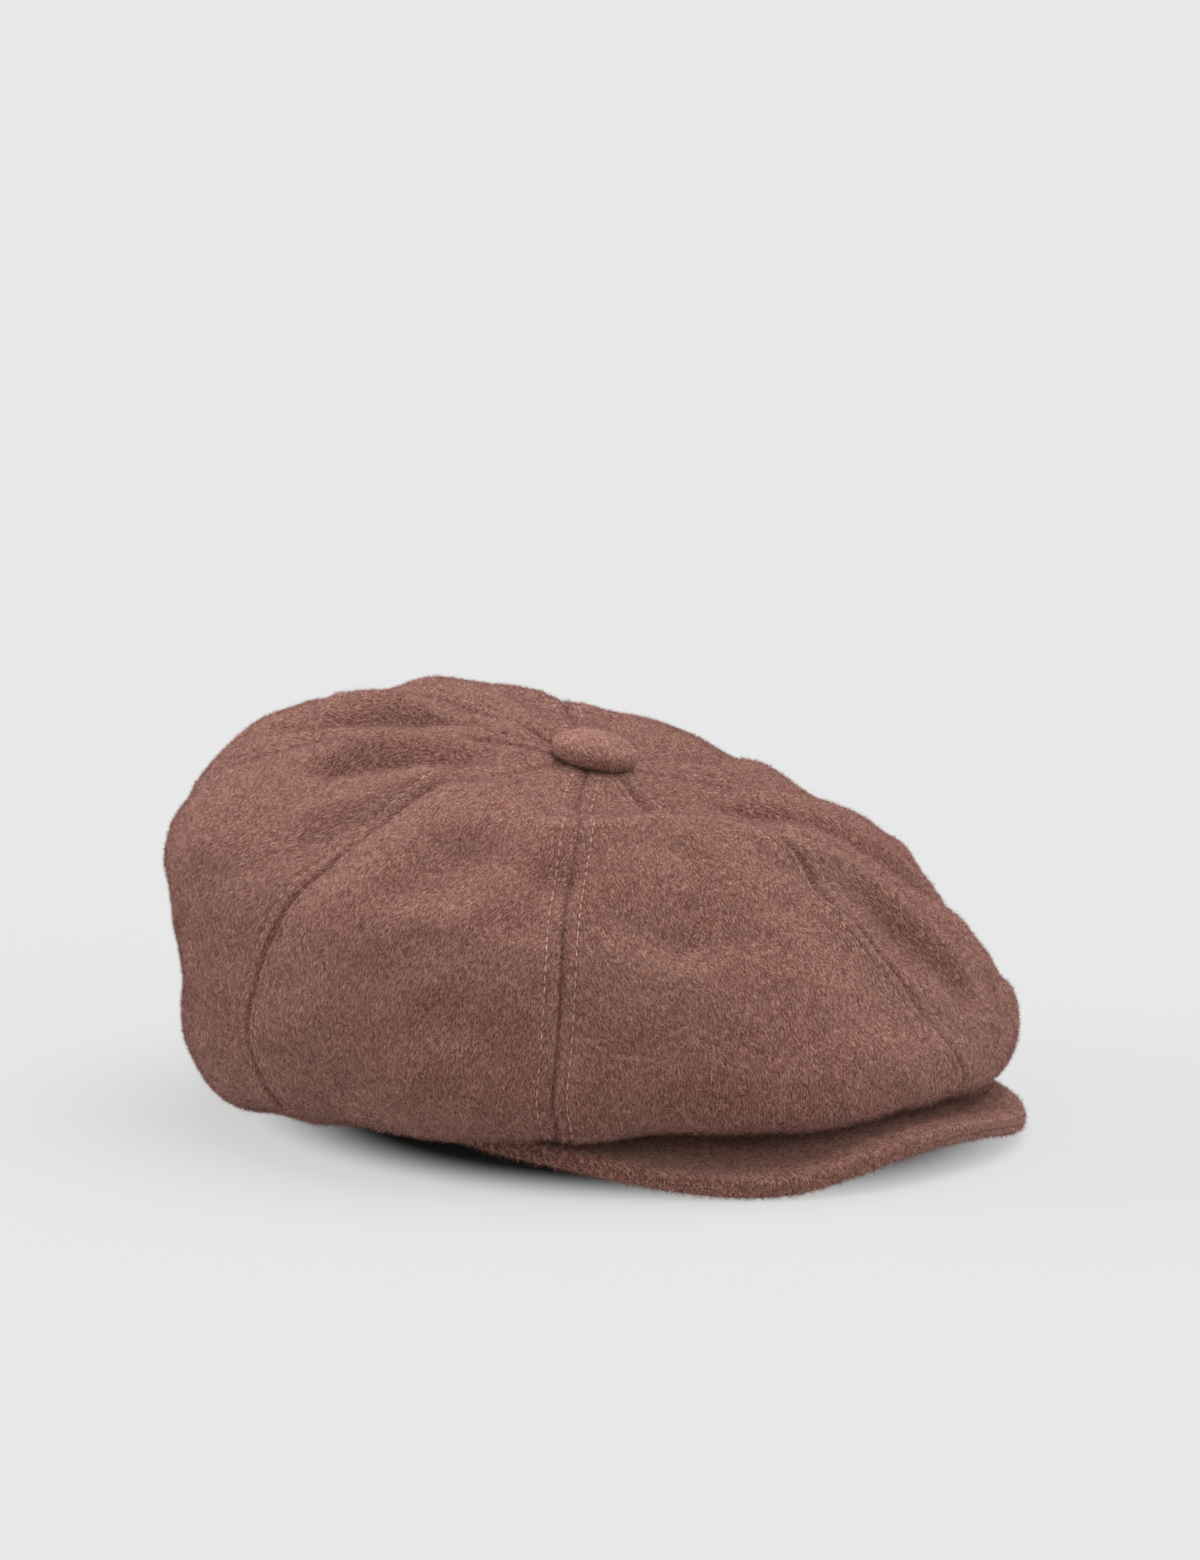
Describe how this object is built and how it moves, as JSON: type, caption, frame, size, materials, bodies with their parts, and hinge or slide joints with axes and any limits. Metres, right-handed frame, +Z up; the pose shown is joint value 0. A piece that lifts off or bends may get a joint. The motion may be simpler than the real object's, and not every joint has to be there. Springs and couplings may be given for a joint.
{
  "type": "newsboy cap",
  "caption": "Soft full-crowned wool cap of wedge panels meeting under a covered button, with a short curved stiff peak, lining and inner sweatband.",
  "frame": {"origin": "middle of the cap's footprint, on the surface it rests on", "axes": "+X to the wearer's left, +Y to the back of the head with the peak towards -Y, +Z up"},
  "size_m": [0.2364, 0.2706, 0.1195],
  "materials": {
    "wool_crown": "brushed melton wool, matt with a fine nap",
    "wool_peak": "brushed melton wool, matt with a fine nap",
    "wool_button": "brushed melton wool stretched over the button",
    "lining_satin": "smooth lining cloth with a soft sheen",
    "band_twill": "matt cotton twill",
    "buckram": "stiffened open cloth, hidden",
    "board_plastic": "flexible sheet, hidden",
    "button_steel": "plated sheet steel"
  },
  "bodies": {
    "crown": {"crown_panel_front_right": "wool_crown", "crown_panel_fore_side_right": "wool_crown", "crown_panel_rear_side_right": "wool_crown", "crown_panel_back_right": "wool_crown", "crown_panel_back_left": "wool_crown", "crown_panel_rear_side_left": "wool_crown", "crown_panel_fore_side_left": "wool_crown", "crown_panel_front_left": "wool_crown", "lining_panel_front_right": "lining_satin", "lining_panel_fore_side_right": "lining_satin", "lining_panel_rear_side_right": "lining_satin", "lining_panel_back_right": "lining_satin", "lining_panel_back_left": "lining_satin", "lining_panel_rear_side_left": "lining_satin", "lining_panel_fore_side_left": "lining_satin", "lining_panel_front_left": "lining_satin", "band_stiffener": "buckram", "sweatband": "band_twill", "button_cover": "wool_button", "button_cup": "button_steel", "button_back": "button_steel", "button_washer": "button_steel"},
    "peak": {"peak_top_cover": "wool_peak", "peak_board": "board_plastic", "peak_under_cover": "wool_peak"}
  },
  "joints": [
    {"name": "peak_tilt", "type": "hinge", "parent": "crown", "child": "peak", "pos_m": [0, -0.0162, 0.01], "axis": [1, 0, 0], "range_deg": [0, 5], "stiffness_Nm_per_rad": 0.2, "springref_deg": -11.46}
  ]
}
